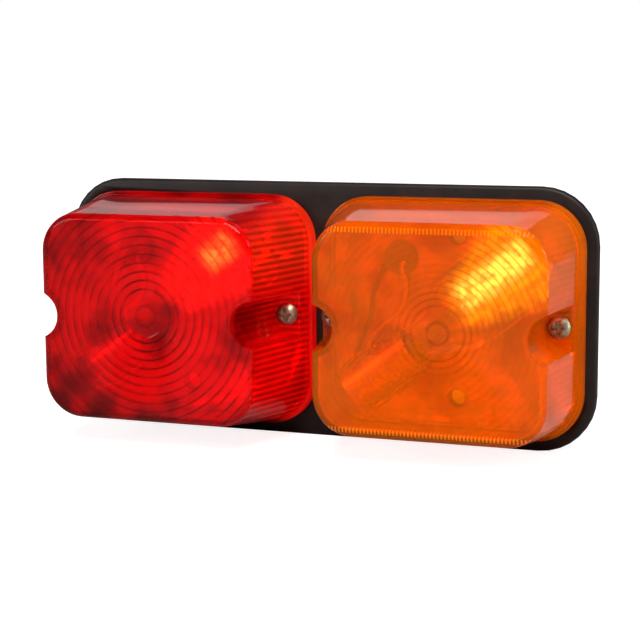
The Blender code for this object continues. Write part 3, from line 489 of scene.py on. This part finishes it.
def painted_trough_glow(paint, lamp, steps, on_face):
    """Painted reflection and painted glow from the trough: the bright patch up it from the bulb, its ringed
    glow and the hottest streak in it.
    """
    light = light_centre(lamp)
    along = (paint.x - light[0]) * cos(BULB_TILT) + (paint.z - light[2]) * sin(BULB_TILT)
    across = (paint.x - light[0]) * sin(BULB_TILT) - (paint.z - light[2]) * cos(BULB_TILT)
    half_width = 4 * MM + 0.34 * along
    trough = (abs(across) - half_width).ramp(4 * MM, -3 * MM) * band(along, GLOW_START, GLOW_END, 7 * MM)
    core = (abs(across + 1.5 * MM) - 2 * MM).ramp(5 * MM, -1 * MM)
    core = core * band(along, PAINTED_HIGHLIGHT_FROM[lamp], PAINTED_HIGHLIGHT_END, 5 * MM)
    ridge = steps.ramp(0.0, 0.25) * steps.ramp(1.0, 0.75)
    streaks = paint.noise(3.4 * MM, 2.0, 0.55).ramp(0.34, 0.64)
    glow = trough * (0.3 + 0.5 * ridge) * (0.35 + 0.65 * streaks) * on_face
    spark = core * (0.35 + 0.65 * ridge) * (0.3 + 0.7 * streaks) * on_face
    return trough * on_face, glow, spark


def edge_prisms(paint, lamp, on_face):
    """Rows of small prisms along the top and the bottom of the face."""
    left, right, _ = lens_frame(lamp)
    length = band(abs(paint.x - (left + right) / 2), 0, PRISM_HALF_LENGTH, 1 * MM)
    row = band(abs(paint.z), *PRISM_ROW, 0.2 * MM) * length * on_face * CLARITY[lamp]
    return paint.x.wave(PRISM_PITCH) * row


def wall_ribs(paint, lamp, wall):
    """Level ribs inside the walls, from the flange to the front."""
    reach = band(paint.y, PLATE_FRONT - front_depth(lamp), PLATE_FRONT - 5 * MM, 0.5 * MM)
    return paint.z.wave(RIB_PITCH) * wall * reach * (1 - 0.8 * CLARITY[lamp])


def low_shade(paint, lamp, swirl):
    """Painted shade: where the lens is darker, in uneven patches, low down and at its left."""
    left = lens_frame(lamp)[0]
    shade = paint.x.ramp(left + 30 * MM, left + 6 * MM) + paint.z.ramp(-18 * MM, -36 * MM)
    return (DUSK[lamp] * shade).ramp(0.0, 1.1) * (0.35 + 0.65 * swirl)


def lens_material(lamp):
    """Clear coloured plastic: smooth outside, with stepped rings, edge prisms and wall ribs inside it,
    painted shade in patches and a painted glow and highlight from the trough.
    """
    paint = Paint(
        f"{lamp}_lens",
        roughness=0.07,
        ior=1.2,
        transmission_weight=0.78,
        coat_weight=0.06,
        specular_ior_level=0.06,
        coat_roughness=0.03,
        coat_ior=1.49,
        emission_strength=0.8,
    )
    tones = LENS_COLOURS[lamp]
    front = PLATE_FRONT - front_depth(lamp)
    on_face = paint.y.ramp(front + FACE_FADE[0], front + FACE_FADE[1])
    wall = 1 - on_face
    radius, steps = ring_steps(paint, lamp)
    beyond_eye = 1 - radius.ramp(*EYE_EDGE)
    trough, glow, spark = painted_trough_glow(paint, lamp, steps, on_face)
    teeth = edge_prisms(paint, lamp, on_face)
    ribs = wall_ribs(paint, lamp, wall)
    swirl = paint.noise(16 * MM, 2.0, 0.55).ramp(0.45, 0.72)
    shade = low_shade(paint, lamp, swirl)
    broken = 0.35 + 0.65 * paint.noise(11 * MM, 2.0, 0.5).ramp(0.38, 0.58)
    grooves = steps.ramp(0.34, 0.0) * beyond_eye * broken * on_face
    circles = grooves * radius.ramp(*PLAIN_RINGS_END)
    pupil = band(radius, *PUPIL, 0.4 * MM) * on_face
    lines = grooves * (0.95 - 0.75 * CLARITY[lamp]) + circles * 0.4 + pupil * 0.35

    # Base colour: pattern lines and ribs darken it; painted shade darkens it in patches, low down and at the
    # left; a painted reflection of the trough and a painted highlight lighten it.
    tone = paint.mix(lines, tones["plain"], tones["deep"])
    tone = paint.mix(swirl * (0.75 - 0.5 * CLARITY[lamp]), tone, tones["deep"])
    tone = paint.mix(ribs * 0.7, tone, tones["deep"])
    tone = paint.mix(shade, tone, tones["deep"])
    tone = paint.mix(trough * 0.6, tone, tones["painted_glow"])
    tone = paint.mix(spark, tone, tones["painted_highlight"])

    # Painted glow: the emission stands in for light from the trough, glints on the prisms, and a lit right
    # wall and face.
    right = lens_frame(lamp)[1]
    lit_wall = wall * paint.x.ramp(right - 15 * MM, right - 8 * MM) * (1 - 0.7 * ribs) * SPILL[lamp]
    lit_face = on_face * FACE_GLOW[lamp] * (1 - 0.7 * swirl) * (1 - shade) * (1 - lines)
    painted_glow_out = paint.mix(glow * 0.8, colour(0, 0, 0), tones["painted_glow"])
    painted_glow_out = paint.mix(spark, painted_glow_out, tones["painted_highlight"])
    painted_glow_out = paint.mix(teeth.ramp(0.45, 0.8) * 0.5, painted_glow_out, tones["painted_glow"])
    painted_glow_out = paint.mix(lit_wall + lit_face, painted_glow_out, tones["painted_glow"])
    painted_glow_out = paint.mix(lit_wall * 0.35 * paint.z.ramp(6 * MM, 24 * MM), painted_glow_out, tones["painted_highlight"])

    height = steps * beyond_eye * on_face * 0.9 + teeth * 0.7 + ribs * 0.3
    return paint.set(base_color=tone, emission_color=painted_glow_out, normal=paint.bump(height, 0.6 * MM, 0.6))


def light_centre(lamp):
    """The bulb's light centre, up the bulb from the middle of its cap."""
    low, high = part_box(f"bulb_cap_{lamp}")
    middle = (Vector(low) + Vector(high)) / 2
    return middle + Vector((cos(BULB_TILT), 0, sin(BULB_TILT))) * CAP_TO_LIGHT


def black_plastic():
    """Moulded black plastic with a fine spark texture and faint flow marks."""
    paint = Paint("black_plastic", specular_ior_level=0.22)
    grain = paint.noise(0.35 * MM, 3.0, 0.6)
    cloud = paint.noise(14 * MM, 3.0, 0.6)
    tone = paint.mix(cloud.ramp(0.35, 0.7), colour(0.007, 0.004, 0.003), colour(0.014, 0.008, 0.006))
    rough = 0.38 + 0.14 * cloud + 0.06 * grain
    return paint.set(base_color=tone, roughness=rough, normal=paint.bump(grain, 0.03 * MM, 0.5))


def metal(name, dark, light, roughness, scale, brightness=0.0):
    """Plated or bright metal with cloudy colour and a fine grain."""
    paint = Paint(name, metallic=1.0 - brightness)
    cloud = paint.noise(scale, 3.0, 0.6)
    grain = paint.noise(0.2 * MM, 2.0, 0.5)
    tone = paint.mix(cloud.ramp(0.3, 0.7), dark, light)
    rough = roughness + 0.1 * cloud
    return paint.set(base_color=tone, roughness=rough, normal=paint.bump(grain, 0.01 * MM, 0.4))


def soft_material(name, dark, light, roughness, size=0.4 * MM):
    """Rubber, phenolic or insulation: a dull tone with fine mottling and a slight grain."""
    paint = Paint(name)
    cloud = paint.noise(size * 12, 2.0, 0.6)
    grain = paint.noise(size, 2.0, 0.6)
    tone = paint.mix(cloud.ramp(0.3, 0.7), dark, light)
    rough = roughness + 0.1 * grain
    return paint.set(base_color=tone, roughness=rough, normal=paint.bump(grain, 0.03 * MM, 0.5))


def bulb_glass():
    """Clear glass, with the faintest ripple."""
    paint = Paint("bulb_glass", ior=1.45, transmission_weight=1.0)
    ripple = paint.noise(6 * MM, 1.0, 0.4)
    tone = paint.mix(ripple, colour(0.96, 0.98, 0.98), colour(1.0, 1.0, 1.0))
    return paint.set(base_color=tone, roughness=0.02 * ripple, normal=paint.bump(ripple, 0.05 * MM, 0.3))


def screw_metal():
    """Pale zinc plate with a cloudy tone."""
    paint = Paint("zinc_steel", metallic=0.85)
    cloud = paint.noise(2.2 * MM, 3.0, 0.6)
    tone = paint.mix(cloud.ramp(0.35, 0.7), colour(0.28, 0.23, 0.14), colour(0.52, 0.46, 0.33))
    rough = 0.34 + 0.16 * cloud
    return paint.set(base_color=tone, roughness=rough, normal=paint.bump(cloud, 0.03 * MM, 0.4))


def make_materials():
    return {
        "black_plastic": black_plastic(),
        "red_lens": lens_material("red"),
        "amber_lens": lens_material("amber"),
        "bright_sheet": metal(
            "bright_sheet", colour(0.42, 0.42, 0.44), colour(0.90, 0.90, 0.91), 0.10, 9 * MM
        ),
        "zinc_steel": screw_metal(),
        "brass": metal("brass", colour(0.62, 0.44, 0.18), colour(0.80, 0.64, 0.32), 0.22, 4 * MM),
        "rubber": soft_material("rubber", colour(0.012, 0.012, 0.012), colour(0.026, 0.025, 0.024), 0.65),
        "phenolic": soft_material("phenolic", colour(0.07, 0.025, 0.012), colour(0.13, 0.05, 0.025), 0.4),
        "glass": bulb_glass(),
        "tungsten": metal("tungsten", colour(0.20, 0.20, 0.21), colour(0.38, 0.38, 0.40), 0.35, 1 * MM),
        "spring_steel": metal(
            "spring_steel", colour(0.30, 0.30, 0.31), colour(0.48, 0.48, 0.50), 0.25, 1 * MM
        ),
        "wire_red": soft_material("wire_red", colour(0.38, 0.008, 0.008), colour(0.5, 0.015, 0.012), 0.4),
        "wire_brown": soft_material("wire_brown", colour(0.10, 0.035, 0.012), colour(0.15, 0.05, 0.02), 0.4),
        "wire_green": soft_material("wire_green", colour(0.015, 0.17, 0.04), colour(0.03, 0.24, 0.07), 0.4),
        "wire_white": soft_material("wire_white", colour(0.62, 0.62, 0.58), colour(0.78, 0.78, 0.74), 0.4),
    }


# Studio


def add_light(name, place, size, power):
    """A soft rectangular light aimed at the middle of the plate's back."""
    data = bpy.data.lights.new(name, "AREA")
    data.shape = "RECTANGLE"
    data.size, data.size_y = size
    data.energy = power
    lamp = bpy.data.objects.new(name, data)
    lamp.location = place
    lamp.rotation_euler = (-Vector(place)).to_track_quat("-Z", "Y").to_euler()
    bpy.context.scene.collection.objects.link(lamp)


def make_world():
    """White to the camera and to clear things, and a gentle grey fill for the rest."""
    world = bpy.data.worlds.new("studio")
    bpy.context.scene.world = world
    world.use_nodes = True
    tree = world.node_tree
    shader = tree.nodes["Background"]
    path = tree.nodes.new("ShaderNodeLightPath")
    seen = tree.nodes.new("ShaderNodeMath")
    seen.operation = "MAXIMUM"
    tree.links.new(path.outputs["Is Camera Ray"], seen.inputs[0])
    tree.links.new(path.outputs["Is Transmission Ray"], seen.inputs[1])
    level = tree.nodes.new("ShaderNodeMapRange")
    level.inputs["To Min"].default_value = 0.12
    level.inputs["To Max"].default_value = 1.0
    tree.links.new(seen.outputs[0], level.inputs["Value"])
    tree.links.new(level.outputs[0], shader.inputs["Strength"])
    shader.inputs["Color"].default_value = colour(1.0, 1.0, 1.0)


def make_floor():
    """A pale floor under the lamp that stays white where no shadow falls."""
    low = cad_bounds[0][2]
    size = 3.0
    corners = np.array([(-size, -size, low), (size, -size, low), (size, size, low), (-size, size, low)])
    floor = mesh_object("floor", corners, [(0, 1, 2, 3)])
    paint = Paint("floor", roughness=0.9, specular_ior_level=0.0, emission_strength=1.0)
    cloud = paint.noise(0.4, 2.0, 0.5)
    tone = paint.mix(cloud, colour(0.48, 0.48, 0.48), colour(0.52, 0.52, 0.52))
    seen = paint.add("LightPath", {}, {}, "Is Camera Ray")
    level = seen * (0.86 + 0.14 * paint.y.ramp(0.15, 0.6))
    glow = paint.mix(level, colour(0, 0, 0), colour(1, 1, 1))
    floor.data.materials.append(paint.set(base_color=tone, emission_color=glow))


def make_camera():
    """Aimed at the middle of the plate's front, from the lamp's right and a little above."""
    azimuth = radians(20.15)
    elevation = radians(8.46)
    roll = radians(-0.34)
    distance = 590.7 * MM
    back = Vector((sin(azimuth) * cos(elevation), -cos(azimuth) * cos(elevation), sin(elevation)))
    right = Vector((cos(azimuth), sin(azimuth), 0))
    up = back.cross(right)
    turned_right = right * cos(roll) + up * sin(roll)
    turned_up = up * cos(roll) - right * sin(roll)
    turn = Matrix((turned_right, turned_up, back)).transposed()
    data = bpy.data.cameras.new("camera")
    data.lens = 94.45
    data.sensor_width = 36
    data.shift_x = -0.0024
    data.shift_y = -0.0151
    camera = bpy.data.objects.new("camera", data)
    camera.matrix_world = Matrix.Translation(back * distance + Vector((0, PLATE_FRONT, 0))) @ turn.to_4x4()
    bpy.context.scene.collection.objects.link(camera)
    bpy.context.scene.camera = camera


slots = {part["node"]: part["material_slot"] for part in frame["record"]["subparts"]}
body_of_node = {
    node: body for body, nodes in frame["record"]["behaviour"]["bodies"].items() for node in nodes
}
make_camera()
materials = make_materials()
for lamp in LAMPS:
    make_lens(lamp).data.materials.append(materials[f"{lamp}_lens"])
for node, slot in slots.items():
    if node.startswith("lens_") and node[5:] in LAMPS:
        continue
    edge = 0.25 * MM if node.startswith(("lens_screw", "socket_bracket")) else 0.0
    piece = finished_copy(node, 40, edge)
    piece.data.materials.clear()
    piece.data.materials.append(materials[slot])
    if node.startswith("contact_spring"):
        squash_spring(piece)
make_floor()
make_world()
add_light("key", (0.25, -0.75, 1.15), (0.9, 0.6), 26)
add_light("side", (1.1, 0.1, 0.35), (0.25, 0.6), 5)
add_light("front", (-1.1, -1.2, 0.5), (0.6, 0.6), 12)
add_light("back", (-0.5, 1.25, 0.62), (1.4, 0.5), 1.3)
bpy.context.scene.view_settings.view_transform = "Standard"
